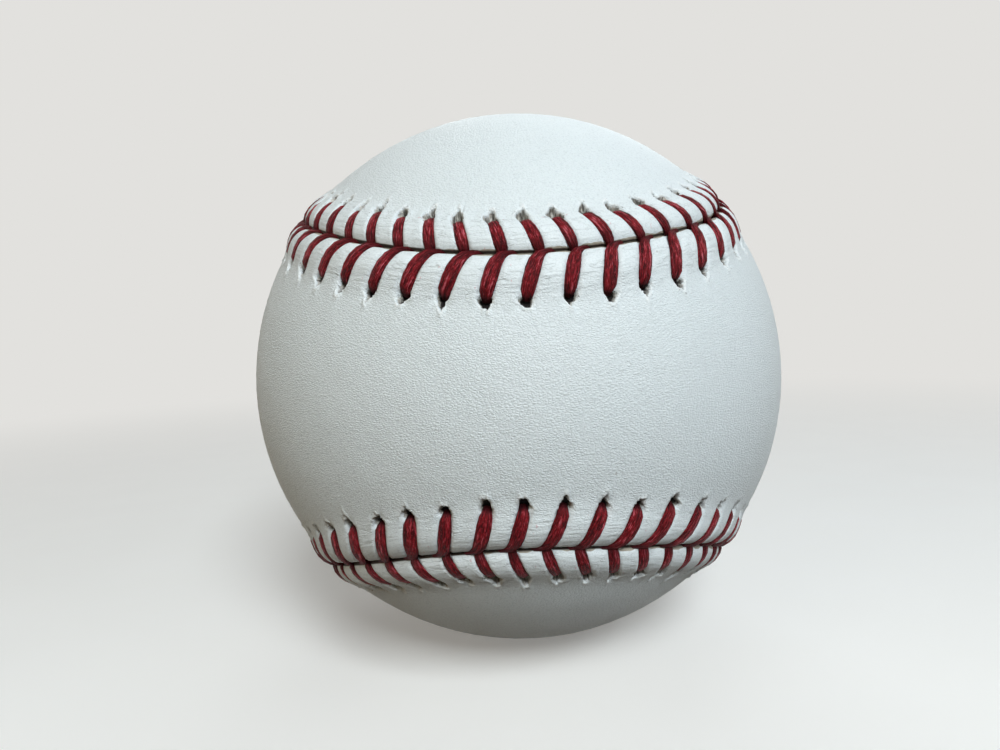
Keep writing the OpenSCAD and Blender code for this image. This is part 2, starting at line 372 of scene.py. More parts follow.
# %% [markdown]
# A cover panel is one figure-eight sheet. Near the seam it is a band of rings that run all the way
# round it, close together at the rolled edge and at the holes, and inside the band it is closed by
# arcs from one side of the figure to the other. At each lobe's end the arcs shrink to one point.

# %% Lay out the panel's grid
# Columns stand close together at a stitch and further apart between two stitches.
columns_a_stitch = 16
half_gaps = [1.0, 1.0, 1.0, 1.0, 1.1, 1.5, 2.2, 3.1]
column_gaps = np.array(half_gaps + half_gaps[::-1])
column_shares = np.concatenate([[0.0], np.cumsum(column_gaps)[:-1]]) / column_gaps.sum()
columns = stitches * columns_a_stitch
column_places = (np.arange(stitches)[:, None] + 0.5 + column_shares[None, :]).ravel()
ring_sides = np.array([
    0.09, 0.13, 0.23, 0.38, 0.60, 0.85, 1.15, 1.50, 1.85, 2.20, 2.55, 2.88, 3.18, 3.42, 3.62,
    3.80, 3.96, 4.12, 4.28, 4.44, 4.60, 4.76, 4.92, 5.06, 5.18, 5.30, 5.42, 5.54, 5.68, 5.84,
    6.05, 6.35, 6.75, 7.30, 7.95, 8.60,
])
rings = len(ring_sides)
middle_rows = 16
under_rows = 4

# Two places that face each other across the figure add up to half the stitches. Columns are counted
# from half a stitch on, so the numbers of two such columns add up to one stitch less.
mirror_sum = (stitches // 2 - 1) * columns_a_stitch
lobe_ends = (mirror_sum // 2 - columns // 2, mirror_sum // 2)


def ring_side_at(row_side, hole):
    """The rings' distances, stretched so that the same rings cross the holes all the way round."""
    near = row_side * hole / hole_side
    far = hole + (row_side - hole_side) * (band_side - hole) / (band_side - hole_side)
    return np.where(row_side < hole_side, near, far)


def middle_arcs(ring, rows):
    """Points inside the band: great circles from each ring point to the one across the figure.

    At a share s of an arc of angle w a point is (top sin (1 - s)w + low sin sw) / sin w.
    """
    starts = np.arange(lobe_ends[0] + 1, lobe_ends[1])
    top = unit(ring[starts % columns])
    low = unit(ring[(mirror_sum - starts) % columns])
    wide = np.arccos(np.clip((top * low).sum(axis=-1), -1.0, 1.0))[:, None, None]
    share = (np.arange(1, rows) / rows)[None, :, None]
    blend = top[:, None] * np.sin(wide * (1 - share)) + low[:, None] * np.sin(wide * share)
    return (blend / np.sin(wide)).reshape(-1, 3)


def ring_faces(near_start, far_start):
    """Four-sided faces between two whole rings."""
    here = np.arange(columns)
    after = (here + 1) % columns
    corners = [near_start + here, near_start + after, far_start + after, far_start + here]
    return np.stack(corners, axis=-1)


def middle_faces(ring_start, arc_start, rows):
    """Faces of the arcs. Next to a lobe's end the faces have three sides."""
    ids = np.arange(lobe_ends[0], lobe_ends[1] + 1)
    grid = np.empty((len(ids), rows + 1), dtype=int)
    grid[:, 0] = ring_start + ids % columns
    grid[:, -1] = ring_start + (mirror_sum - ids) % columns
    count = (len(ids) - 2) * (rows - 1)
    grid[1:-1, 1:-1] = arc_start + np.arange(count).reshape(len(ids) - 2, rows - 1)
    grid[0, 1:-1] = grid[0, 0]
    grid[-1, 1:-1] = grid[-1, 0]
    quads = np.stack([grid[:-1, :-1], grid[1:, :-1], grid[1:, 1:], grid[:-1, 1:]], axis=-1)
    first = quads[0][:, 1:]
    last = quads[-1][:, [0, 1, 3]]
    return quads[1:-1].reshape(-1, 4), np.concatenate([first, last])


print("Columns:", columns, "rings:", rings)

# %% [markdown]
# The whole panel is put together from rings and arcs: the outside with its relief, the cut edge,
# and a plain underside that closes the leather. The skin is not a perfect ball away from the seam
# either: it gives a few hundredths of a millimetre here and there, always inwards, which is enough
# to break up the highlight. Panel B is panel A carried over by the ball's own symmetry.

# %% Work out the points of a panel
skin_dip = 0.035
skin_wave = 0.022
cut_middle_up = 0.45
far_from_seam = 20.0
mask_names = ("hole_mask", "rim_mask", "pulled_mask", "pit_shade")


def uneven_skin(direction):
    """Slow dents of up to 0.07 mm over the ball's direction, never outwards.

    They are one product of two sine waves, and 0.6 of a faster one.
    """
    x, y, z = direction[..., 0], direction[..., 1], direction[..., 2]
    wave = np.sin(9 * x + 4 * y + 1.0) * np.sin(7 * z - 5 * x + 2.0)
    wave = wave + 0.6 * np.sin(17 * y - 6 * z) * np.sin(13 * x + 11 * z + 0.7)
    return skin_wave * wave - skin_dip


def panel_surface(variety):
    """Points of a panel in mm, part by part, with the masks and distances of its rings.

    The outside lies at its direction times ball_r plus the height, and the underside at inner_r.
    """
    bend = variety["bend"]
    hole = hole_at(column_places)
    sides = ring_side_at(ring_sides[:, None], hole)
    height, masks = leather_relief(column_places, sides, variety)
    direction = leather_direction(column_places, sides, bend)
    outside_r = ball_r + height + uneven_skin(direction)
    band_ring = direction[-1]
    middle = middle_arcs(band_ring, middle_rows)
    edge = leather_direction(column_places, np.full(columns, edge_side), bend)
    parts = [
        *(direction * outside_r[..., None]),
        middle * (ball_r + uneven_skin(middle))[:, None],
        edge * (inner_r + cut_middle_up),
        edge * inner_r,
        leather_direction(column_places, hole, bend) * inner_r,
        band_ring * inner_r,
        middle_arcs(band_ring, under_rows) * inner_r,
    ]
    return parts, masks, sides


def panel_faces(parts):
    """Faces of the outside, and those of the cut edge and the underside, clockwise from outside."""
    starts = np.concatenate([[0], np.cumsum([len(part) for part in parts])])
    skin = [ring_faces(starts[i], starts[i + 1]) for i in range(rings - 1)]
    middle_quads, middle_triangles = middle_faces(starts[rings - 1], starts[rings], middle_rows)
    edge_mid, edge_low, under_hole, under_band, under_middle = starts[rings + 1:rings + 6]
    under_quads, under_triangles = middle_faces(under_band, under_middle, under_rows)
    back = [
        ring_faces(edge_mid, starts[0]),
        ring_faces(edge_low, edge_mid),
        ring_faces(under_hole, edge_low),
        ring_faces(under_band, under_hole),
        under_quads[:, ::-1],
    ]
    skin_faces = np.concatenate([*skin, middle_quads]).tolist() + middle_triangles.tolist()
    back_faces = np.concatenate(back).tolist() + under_triangles[:, ::-1].tolist()
    return skin_faces, back_faces


print("Points on a panel's rings:", rings * columns)

# %% Turn points into pieces


def as_panel_b(points):
    """A quarter turn and a mirror, which carry the seam on to itself: (x, y, z) to (z, -y, -x)."""
    return np.stack([points[..., 2], -points[..., 1], -points[..., 0]], axis=-1)


def mesh_object(name, points, faces):
    """A smooth mesh object at the origin from points in metres."""
    mesh = bpy.data.meshes.new(name)
    mesh.from_pydata(points.tolist(), [], faces)
    mesh.shade_smooth()
    return add_object(name, mesh)


def dressed_piece(name, points, faces):
    """A piece of the ball from points in millimetres, pulled aside as the seam is.

    The faces are listed clockwise as seen from outside, so they are turned over to face outwards.
    """
    piece = mesh_object(name, pulled_aside(points) * MM, faces)
    piece.data.flip_normals()
    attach(piece, "root")
    return piece


def give_attribute(piece, name, kind, values):
    """Stores one value or vector for each point of the mesh, for its material to read."""
    attribute = piece.data.attributes.new(name, kind, "POINT")
    field = "vector" if kind == "FLOAT_VECTOR" else "value"
    attribute.data.foreach_set(field, np.ascontiguousarray(values, dtype=np.float32).ravel())


print("Place 0 of panel B in mm:", as_panel_b(seam_direction(0.0) * ball_r).round(1))

# %% Make both panels


def make_panel(name, variety, mirrored):
    """One cover panel with its masks and its places beside the seam.

    A place beside the seam is (r cos a, r sin a, side), where a goes once round with the stitches,
    so a pattern can run along the seam and still close on itself.
    """
    parts, masks, sides = panel_surface(variety)
    skin_faces, back_faces = panel_faces(parts)
    points = np.concatenate(parts)
    faces = skin_faces + back_faces
    if mirrored:
        points = as_panel_b(points)
        faces = [face[::-1] for face in faces]
    piece = dressed_piece(name, points, faces)
    on_rings = sides.size
    values = np.zeros((len(points), len(mask_names)))
    values[:on_rings] = masks.reshape(on_rings, -1)
    for mask_name, mask in zip(mask_names, values.T):
        give_attribute(piece, mask_name, "FLOAT", mask)
    angle = np.tile(column_places / stitches * full_turn, rings)
    seam_r = seam_length / full_turn
    places = [seam_r * np.cos(angle), seam_r * np.sin(angle), sides.ravel()]
    seam_place = np.full((len(points), 3), far_from_seam)
    seam_place[:on_rings] = np.stack(places, axis=-1)
    give_attribute(piece, "seam_place", "FLOAT_VECTOR", seam_place)
    is_back = np.arange(len(faces)) >= len(skin_faces)
    piece.data.polygons.foreach_set("material_index", is_back.astype(np.int32))
    triangles = sum(len(face) - 2 for face in faces)
    print(name, "has", len(points), "points and", triangles, "triangles")
    return piece


panel_a = make_panel("leather_panel_a", varieties["a"], False)
panel_b = make_panel("leather_panel_b", varieties["b"], True)
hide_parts("cover_panel_a")
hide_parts("cover_panel_b")

# %% [markdown]
# A stitch shows two legs, one on either panel. A leg comes up out of its hole, lies flat over the
# lip and goes down into the seam, where it turns along the groove towards the next stitch. Waxed
# thread that is pulled tight spreads like a leaf: wide in the middle, narrow at both ends. So a leg
# is a flat oval that is carried along a path, and its size changes as it goes. All the legs of a
# strand are worked out at once, and each has only a few dozen faces, because there are 216 of them.

# %% Work out the legs of the stitches
# A leg's stations run from its hole, a share of almost 1, to just past the seam, a share of 0.
leg_shares = np.array([0.99, 0.93, 0.85, 0.64, 0.43, 0.23, 0.09, 0.02, 0.0, -0.01])
leg_thicknesses = np.array([0.46, 0.54, 0.56, 0.56, 0.58, 0.60, 0.58, 0.54, 0.48, 0.30])
leg_widths = {
    "a": np.array([0.95, 1.28, 1.50, 1.70, 1.70, 1.50, 1.22, 0.92, 0.66, 0.36]),
    "b": np.array([1.05, 1.36, 1.52, 1.70, 1.72, 1.58, 1.42, 1.36, 1.20, 0.60]),
}
leg_dips = {
    "a": np.array([-0.95, -0.34, -0.02, 0.0, 0.0, 0.0, -0.02, 0.04, 0.12, -0.25]),
    "b": np.array([-0.85, -0.28, -0.02, 0.0, 0.0, 0.0, -0.04, -0.06, -0.10, -0.60]),
}
tuck_forward = {
    "a": np.array([0.0, 0.0, 0.0, 0.0, 0.0, 0.0, 0.16, 0.62, 1.14, 1.62]),
    "b": np.array([0.0, 0.0, 0.0, 0.0, 0.0, 0.0, 0.0, 0.02, 0.05, 0.10]),
}
stations = len(leg_shares)
around = 8
corner_angle = np.arange(around) / around * full_turn
fibre_r = 0.8


def leg_surface(numbers, panel):
    """Points of a panel's legs as (leg, station, corner, xyz), and the stations' running lengths.

    A station's middle lies on the leather's seat plus half the thread's thickness, and its section
    is width/2 cos t across the leg and thickness/2 sin t away from the ball.
    """
    variety = varieties[panel]
    stitch = numbers[:, None]
    place = stitch + 0.5 + np.zeros(stations)
    hole = hole_at(place) + variety["hole_out"][stitch]
    side = hole * leg_shares
    shift = stitch_shift(variety, stitch, side / hole) + tuck_forward[panel]
    seat = seat_height(np.maximum(side, edge_side), hole)
    height = seat + leg_thicknesses * 0.5 + leg_dips[panel]
    lag = lag_at(side, hole_at(place), variety["bend"])
    direction = beside_seam(place + (shift - lag) / stitch_pitch, side)
    middle = direction * (ball_r + height)[..., None]
    along = unit(np.gradient(middle, axis=1))
    level = unit(np.cross(along, direction))
    upright = np.cross(level, along)
    roll = variety["roll"][stitch][..., None]
    wide = level * np.cos(roll) + upright * np.sin(roll)
    up = upright * np.cos(roll) - level * np.sin(roll)
    half_width = leg_widths[panel] * variety["leg_width"] * variety["width"][stitch] / 2.0
    across = half_width[..., None] * np.cos(corner_angle)
    away = (leg_thicknesses / 2.0)[:, None] * np.sin(corner_angle)
    points = middle[:, :, None] + wide[:, :, None] * across[..., None]
    points = points + up[:, :, None] * away[..., None]
    steps = np.linalg.norm(np.diff(middle, axis=1, prepend=middle[:, :1]), axis=-1)
    return points, np.cumsum(steps, axis=1)


def leg_faces(legs):
    """Side faces between stations and a cap at either end, for every leg."""
    here = np.arange(around)
    after = (here + 1) % around
    leg_start = np.arange(legs)[:, None, None] * stations
    base = (leg_start + np.arange(stations - 1)[None, :, None]) * around
    corners = [base + here, base + after, base + around + after, base + around + here]
    sides = np.stack(corners, axis=-1).reshape(-1, 4)
    first = np.arange(legs)[:, None] * stations * around + here[::-1]
    last = first[:, ::-1] + (stations - 1) * around
    return sides.tolist(), np.concatenate([first, last]).tolist()


print("A leg has", stations, "stations of", around, "corners")

# %% Make both strands


def make_strand(name, first):
    """A strand takes every second leg of either panel, because it changes sides at each stitch.

    A point's lie along the fibres is (r cos t, r sin t, running length plus the leg's own start).
    """
    numbers = np.arange(first, stitches, 2)
    points_a, run_a = leg_surface(numbers, "a")
    points_b, run_b = leg_surface(numbers, "b")
    points = np.concatenate([points_a, as_panel_b(points_b)[:, :, ::-1]])
    run = np.concatenate([run_a, run_b])
    pattern = np.concatenate([varieties[panel]["pattern"][numbers] for panel in varieties])
    side_faces, cap_faces = leg_faces(len(run))
    piece = dressed_piece(name, points.reshape(-1, 3), side_faces + cap_faces)
    corners = points.shape[:3]
    lie = [
        np.broadcast_to(np.cos(corner_angle) * fibre_r, corners),
        np.broadcast_to(np.sin(corner_angle) * fibre_r, corners),
        np.broadcast_to((run + pattern[:, None])[..., None], corners),
    ]
    leg_share = np.broadcast_to((run / run[:, -1:])[..., None], corners)
    give_attribute(piece, "leg_share", "FLOAT", leg_share)
    give_attribute(piece, "fibre_lie", "FLOAT_VECTOR", np.stack(lie, axis=-1))
    print(name, "has", len(run), "legs of", len(side_faces) // len(run), "faces and two caps")
    return piece


strand_one = make_strand("red_strand_one", 0)
strand_two = make_strand("red_strand_two", 1)
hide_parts("thread_strand_one")
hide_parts("thread_strand_two")

# %% [markdown]
# Materials are networks of small nodes, and most of a network is the same few moves: add a node,
# set its values, and join its sockets. The helpers below do that. A group is a network with named
# inputs and outputs of its own, and it is used where several finishes share an effect.

# %% Make helpers for nodes


def colour(red, green, blue):
    """A colour written as a picture program shows it, 0 to 255, turned into light, with alpha 1."""
    share = np.array([red, green, blue]) / 255.0
    light = np.where(share <= 0.04045, share / 12.92, ((share + 0.055) / 1.055) ** 2.4)
    return (*light.tolist(), 1.0)


def set_inputs(node, inputs):
    """Fills a node's inputs: a value is set, and another node's output is joined."""
    for name, value in inputs.items():
        if isinstance(value, bpy.types.NodeSocket):
            node.id_data.links.new(value, node.inputs[name])
        else:
            node.inputs[name].default_value = value


def add_node(kind, inputs, tree=None, **settings):
    """A new node with its settings and inputs, in a tree or in the one its inputs come from."""
    for value in inputs.values():
        if isinstance(value, bpy.types.NodeSocket):
            tree = value.id_data
    node = tree.nodes.new(kind)
    for name, value in settings.items():
        setattr(node, name, value)
    set_inputs(node, inputs)
    return node


def maths(operation, first, second=0.0, third=0.0):
    """The result of one sum on one to three numbers or outputs."""
    inputs = {0: first, 1: second, 2: third}
    return add_node("ShaderNodeMath", inputs, operation=operation).outputs[0]


def times(first, second):
    """The product of two numbers or outputs."""
    return maths("MULTIPLY", first, second)


def vector_maths(operation, first, second=(0.0, 0.0, 0.0), scale=1.0):
    """The result of one sum on vectors: a number for a length or a dot product, else a vector."""
    inputs = {0: first, 1: second, 3: scale}
    outputs = add_node("ShaderNodeVectorMath", inputs, operation=operation).outputs
    return outputs["Value" if operation in ("LENGTH", "DOT_PRODUCT") else "Vector"]


print("Middle grey as light:", round(colour(128, 128, 128)[0], 3))

# %% Make helpers for masks and patterns


def ramp(value, low, high, low_to=0.0, high_to=1.0):
    """A smooth ramp over a value: low_to at low, high_to at high, and level past both."""
    inputs = {"Value": value, "From Min": low, "From Max": high, "To Min": low_to, "To Max": high_to}
    return add_node("ShaderNodeMapRange", inputs, interpolation_type="SMOOTHSTEP").outputs[0]


def mixed(share, first, second):
    """Two colours mixed by a share between 0 and 1."""
    inputs = {0: share, 6: first, 7: second}
    return add_node("ShaderNodeMix", inputs, data_type="RGBA").outputs[2]


def layered(base, layers):
    """The base colour under layers, each given by its mask, its strength and its colour."""
    for mask, strength, over in layers:
        base = mixed(times(mask, strength), base, over)
    return base


def noise(vector, scale, detail=2.0, roughness=0.5):
    """Cloudy noise between 0 and 1."""
    inputs = {"Vector": vector, "Scale": scale, "Detail": detail, "Roughness": roughness}
    return add_node("ShaderNodeTexNoise", inputs).outputs[0]


def cell_pattern(feature, vector, scale):
    """The outputs of a pattern of cells: F1 tells the cells apart, DISTANCE_TO_EDGE their edges."""
    inputs = {"Vector": vector, "Scale": scale}
    return add_node("ShaderNodeTexVoronoi", inputs, feature=feature).outputs


def stretched(vector, scale):
    """Coordinates multiplied axis by axis."""
    return add_node("ShaderNodeMapping", {"Vector": vector, "Scale": scale}).outputs[0]


def object_place(tree):
    """The point's own coordinates in metres, which stay put on the piece."""
    return add_node("ShaderNodeTexCoord", {}, tree).outputs["Object"]


def attribute(tree, name):
    """The outputs for what the mesh stored under a name: Fac for a number, Vector for a vector."""
    return add_node("ShaderNodeAttribute", {}, tree, attribute_name=name).outputs


def bumped(*heights):
    """A normal that tilts with heights laid over each other, each with its depth in metres."""
    under = {}
    for height, depth in heights:
        inputs = {"Height": height, "Distance": depth, "Strength": 1.0, **under}
        under = {"Normal": add_node("ShaderNodeBump", inputs).outputs[0]}
    return under["Normal"]


print("Helpers for masks and patterns are ready")

# %% Make helpers for materials and groups


def new_material(name):
    """An empty material, the tree to build it in, and its surface shader."""
    material = bpy.data.materials.new(name)
    material.use_nodes = True
    tree = material.node_tree
    return material, tree, tree.nodes["Principled BSDF"]


def new_group(name, inputs, outputs):
    """A node group with a vector Place, number inputs with their values, and named outputs."""
    tree = bpy.data.node_groups.new(name, "ShaderNodeTree")
    tree.interface.new_socket("Place", in_out="INPUT", socket_type="NodeSocketVector")
    for label, value in inputs.items():
        socket = tree.interface.new_socket(label, in_out="INPUT", socket_type="NodeSocketFloat")
        socket.default_value = value
    for label in outputs:
        tree.interface.new_socket(label, in_out="OUTPUT", socket_type="NodeSocketFloat")
    return tree, tree.nodes.new("NodeGroupInput").outputs, tree.nodes.new("NodeGroupOutput")


def placed_group(group, inputs):
    """The outputs of a group that is placed in a material with its own values."""
    return add_node("ShaderNodeGroup", inputs, node_tree=group).outputs


print("Helpers for materials and groups are ready")

# %% [markdown]
# Leather grain is a field of small pebbles with fine creases between them. A cell pattern gives
# the creases, which are low where two cells meet, and cloudy noise of the same size makes the
# pebbles uneven, so that the net doesn't look drawn. The flesh side of the leather has no pebbles
# but a nap, which is the same group with other values.

# %% Build the grain group
colour_middle = (0.5, 0.5, 0.5)
grain_group, group_in, group_end = new_group(
    "pebble grain", {"Cells": 2500.0, "Bend": 0.00022, "Nap": 1.1}, ["Height", "Crease"])
place = group_in["Place"]
cloud = add_node("ShaderNodeTexNoise", {"Vector": place, "Scale": 1700.0, "Detail": 2.0})
bend_way = vector_maths("SUBTRACT", cloud.outputs["Color"], colour_middle)
bend_by = vector_maths("SCALE", bend_way, scale=group_in["Bend"])
bent = vector_maths("ADD", place, bend_by)
to_edge = cell_pattern("DISTANCE_TO_EDGE", bent, group_in["Cells"])["Distance"]
pebble = ramp(to_edge, 0.0, 0.30)
nap = noise(place, times(group_in["Cells"], 1.1), 3.0, 0.6)
set_inputs(group_end, {
    "Height": maths("MULTIPLY_ADD", nap, group_in["Nap"], times(pebble, 0.55)),
    # Crease marks the creases, where the finishes paint shade.
    "Crease": times(ramp(to_edge, 0.0, 0.11, 1.0, 0.0), ramp(nap, 0.62, 0.38)),
})
print("Grain group has", len(grain_group.nodes), "nodes")

# %% [markdown]
# The white skin is tanned with alum and stays a cool white. Over the grain it has fine wrinkles
# that run along the seam between the stitches, where the sheet is bent over the lip, and short
# pulls that point at the holes, and shade is painted into the creases of the grain and into the
# sharp creases. A hole is torn, not drilled: its far wall shows grey flesh, shade is painted at
# its bottom where the thread goes in, and its small lip beyond gets a painted highlight. At the
# very edge the sheet was cut. There a thin band of its tan inside shows, and beside it painted
# shade in the groove.

# %% Start the leather's skin
skin_material, tree, shader = new_material("alum white leather")
place = object_place(tree)
seam = attribute(tree, "seam_place")["Vector"]
seam_parts = add_node("ShaderNodeSeparateXYZ", {0: seam}).outputs
round_panel = seam_parts["X"]
side_of = seam_parts["Z"]
hole_mask, rim_mask, pulled_mask, pit_shade = (attribute(tree, name)["Fac"] for name in mask_names)
near_seam = ramp(side_of, 3.6, 6.6, 1.0, 0.0)
tired = noise(place, 90.0, 3.0, 0.55)
grain = placed_group(grain_group, {
    "Place": stretched(place, (0.8, 0.8, 1.3)),
    "Cells": 3300.0,
})
print("Masks that the leather's mesh stores:", mask_names)

# %% Raise the skin
# Its heights are dents, pulls at the holes, wrinkles, sharp creases and grain.
dents = noise(place, 260.0)
pull_streaks = times(noise(stretched(seam, (3.2, 3.2, 0.8)), 1.0), pulled_mask)
wrinkles = times(noise(stretched(seam, (0.5, 0.5, 2.9)), 1.0), near_seam)
folds = noise(stretched(seam, (0.35, 0.35, 1.3)), 1.0)
from_fold = maths("ABSOLUTE", maths("SUBTRACT", folds, 0.56))
creases = times(ramp(from_fold, 0.0, 0.02, 1.0, 0.0), near_seam)
fresh_grain = times(grain["Height"], ramp(side_of, 1.0, 7.0, 0.35, 1.0))
skin_normal = bumped(
    (dents, 0.00012),
    (pull_streaks, 0.00012),
    (wrinkles, 0.00011),
    (creases, -0.00003),
    (fresh_grain, 0.000062),
)
print("Leather nodes so far:", len(tree.nodes))

# %% Cut the edge
# The cut edge is a band of uneven width, and shade is painted in the groove beside it. Once round a
# panel the seam goes from gaping to closed and back, by the first number of its place.
gaping_at = -30.0
closed_at = 30.0
edge_waves = noise(stretched(seam, (0.45, 0.45, 0.0)), 1.0)
edge_shown = ramp(round_panel, gaping_at, closed_at, 0.45, 1.0)
edge_width = times(ramp(edge_waves, 0.34, 0.66, 0.18, 0.47), edge_shown)
cut_edge = ramp(maths("SUBTRACT", side_of, edge_width), -0.03, 0.04, 1.0, 0.0)
cut_fibre = noise(place, 3600.0, 3.0, 0.6)
cut_flesh = mixed(cut_fibre, colour(128, 118, 104), colour(196, 188, 172))
# Where the seam gapes, the groove's painted shade is wider.
gape = ramp(round_panel, gaping_at, closed_at, 0.12, 0.0)
groove = ramp(maths("SUBTRACT", side_of, gape), 0.11, 0.19, 1.0, 0.0)
print("Leather nodes so far:", len(tree.nodes))

# %% Tear the holes
# The holes have a tattered edge of torn flesh, nicks round them and painted shade at the bottom.
tatter = maths("MULTIPLY_ADD", noise(place, 3400.0, 3.0, 0.65), 0.9, -0.45)
torn = ramp(maths("ADD", hole_mask, tatter), 0.10, 0.38)
torn_streaks = noise(stretched(seam, (6.0, 6.0, 1.2)), 1.0, 2.0, 0.6)
torn_share = ramp(torn_streaks, 0.35, 0.65)
torn_flesh = mixed(torn_share, colour(74, 68, 60), colour(206, 202, 192))
nick_spots = ramp(noise(place, 2600.0, 1.0), 0.66, 0.72)
nicks = times(nick_spots, ramp(pulled_mask, 0.6, 0.98))
# Painted shade at the bottom of each hole, where the thread goes in.
bottom_shade = ramp(maths("ADD", pit_shade, tatter), 0.42, 0.72)
print("Leather nodes so far:", len(tree.nodes))

# %% Colour the skin
# Its colours lie over each other, each where its mask is: creases, specks, the edge and the holes.
# The creases, the groove and the holes' bottoms get painted shade, and the rims a painted highlight.
specks = ramp(noise(place, 900.0, 1.0, 0.4), 0.80, 0.83)
fluff_spots = noise(stretched(place, (1.0, 1.0, 0.6)), 2100.0, 1.0)
near_thread = ramp(side_of, 3.5, 5.6, 0.35, 0.0)
red_fluff = times(ramp(fluff_spots, 0.74, 0.78), near_thread)
skin = mixed(tired, colour(225, 233, 234), colour(233, 239, 240))
skin = layered(skin, [
    # Painted shade in the grain's creases and in the sharp creases.
    (grain["Crease"], 0.40, colour(176, 184, 188)),
    (creases, 0.20, colour(150, 152, 150)),
    (specks, 0.45, colour(140, 136, 128)),
    (cut_edge, 1.0, cut_flesh),
    # Painted shade in the groove.
    (groove, 1.0, colour(58, 48, 41)),
    (torn, 1.0, torn_flesh),
    (nicks, 0.8, colour(52, 44, 42)),
    # Painted shade at the holes' bottoms.
    (bottom_shade, 1.0, colour(24, 17, 16)),
    # Painted highlight: the rims beyond the holes are whiter than the skin.
    (rim_mask, 0.85, colour(244, 247, 246)),
    (red_fluff, 1.0, colour(196, 92, 104)),
])
rough = ramp(tired, 0.3, 0.7, 0.46, 0.56)
rough = maths("MAXIMUM", rough, times(hole_mask, 0.9))
rough = maths("SUBTRACT", rough, times(rim_mask, 0.15))
set_inputs(shader, {
    "Base Color": skin,
    "Roughness": rough,
    "Normal": skin_normal,
    "Specular IOR Level": 0.42,
})
print("Leather nodes:", len(tree.nodes))

# %% Finish the cut edge and the flesh side
flesh_material, tree, shader = new_material("flesh side of the leather")
place = object_place(tree)
nap_grain = placed_group(grain_group, {"Place": place, "Cells": 5200.0, "Nap": 1.4})
fibre = noise(place, 2400.0, 4.0, 0.65)
flesh = mixed(fibre, colour(168, 160, 146), colour(206, 200, 187))
set_inputs(shader, {
    # Painted shade in the nap's creases.
    "Base Color": layered(flesh, [(nap_grain["Crease"], 0.4, colour(128, 118, 104))]),
    "Normal": bumped((nap_grain["Height"], 0.00005)),
    "Roughness": 0.9,
    "Sheen Weight": 0.2,
})
for panel in (panel_a, panel_b):
    panel.data.materials.append(skin_material)
    panel.data.materials.append(flesh_material)
print("Both panels have", len(panel_a.data.materials), "finishes")

# %% [markdown]
# Thread is a bundle of fibres. Its pattern is noise that is stretched along them, fine over coarse,
# with short filaments across it. The thread is deep red, with painted pink highlights where its
# fibres catch the light, painted shade at its hole, where it goes down into the leather, and
# painted shade again down in the groove. Its soft edge sheen is the shader's own.

# %% Finish the red thread
thread_material, tree, shader = new_material("waxed red thread")
lie = attribute(tree, "fibre_lie")["Vector"]
leg_share = attribute(tree, "leg_share")["Fac"]
along_fibres = stretched(lie, (1.0, 1.0, 0.16))
fine = noise(along_fibres, 7.0, 3.0, 0.6)
coarse = noise(along_fibres, 2.8, 1.0, 0.4)
fibre_height = maths("MULTIPLY_ADD", coarse, 0.9, times(fine, 0.6))
streak = maths("MULTIPLY_ADD", fine, 0.65, times(coarse, 0.35))
filaments = noise(stretched(lie, (9.0, 9.0, 3.2)), 1.0, 2.0, 0.6)
red = mixed(ramp(streak, 0.40, 0.60), colour(58, 0, 5), colour(154, 28, 38))
red = layered(red, [
    # Painted highlight: pink on the bright streaks.
    (ramp(streak, 0.55, 0.66), 0.9, colour(216, 112, 124)),
    (ramp(filaments, 0.48, 0.66), 0.6, colour(60, 5, 12)),
    # Pale pink filaments: partly the fibres' own tone, partly painted highlight.
    (ramp(filaments, 0.44, 0.28), 0.45, colour(192, 84, 94)),
    # Painted shade where the leg goes down into its hole, and down in the groove.
    (ramp(leg_share, 0.06, 0.15, 1.0, 0.0), 0.85, colour(38, 4, 9)),
    (ramp(leg_share, 0.56, 0.84), 0.7, colour(54, 2, 8)),
])
set_inputs(shader, {
    "Base Color": red,
    "Normal": bumped((fibre_height, 0.00028), (filaments, 0.00012)),
    "Roughness": 0.5,
    "Specular IOR Level": 0.12,
    "Sheen Weight": 0.04,
    "Sheen Roughness": 0.4,
    "Sheen Tint": colour(240, 160, 160),
})
for strand in (strand_one, strand_two):
    strand.data.materials.append(thread_material)
print("Thread nodes:", len(tree.nodes))

# %% [markdown]
# Under the leather the ball is wound by machine, and the yarn crosses itself in every direction. On
# the real windings one sees patches of neighbouring turns, each patch with its own direction. A
# cell pattern gives the patches. Each cell has a random tilt, and its cross product with the cell's
# place lies flat on the ball there, so it serves as the direction across the yarns.

# %% Build the winding group
wound_group, group_in, group_end = new_group(
    "criss-cross yarn",
    {"Patches": 70.0, "Yarns": 770.0, "Fuzz": 4200.0},
    ["Height", "Gap", "Fibre"])
place = group_in["Place"]
patch = cell_pattern("F1", place, group_in["Patches"])
tilt = vector_maths("SUBTRACT", patch["Color"], colour_middle)
across_yarns = vector_maths("NORMALIZE", vector_maths("CROSS_PRODUCT", patch["Position"], tilt))
run_across = vector_maths("DOT_PRODUCT", place, across_yarns)
wobble = times(noise(place, 160.0), 1.6)
yarn_count = maths("MULTIPLY_ADD", run_across, group_in["Yarns"], wobble)
yarn_share = maths("FRACT", yarn_count)
from_middle = maths("ABSOLUTE", maths("MULTIPLY_ADD", yarn_share, 2.0, -1.0))
round_yarn = maths("SUBTRACT", 1.0, times(from_middle, from_middle))
fuzz = noise(place, group_in["Fuzz"], 3.0, 0.65)
set_inputs(group_end, {
    "Height": maths("MULTIPLY_ADD", fuzz, 0.3, round_yarn),
    # Gap marks the gaps between yarns, where the windings paint shade.
    "Gap": ramp(from_middle, 0.74, 1.0),
    "Fibre": ramp(fuzz, 0.35, 0.65),
})
print("Winding group has", len(wound_group.nodes), "nodes")

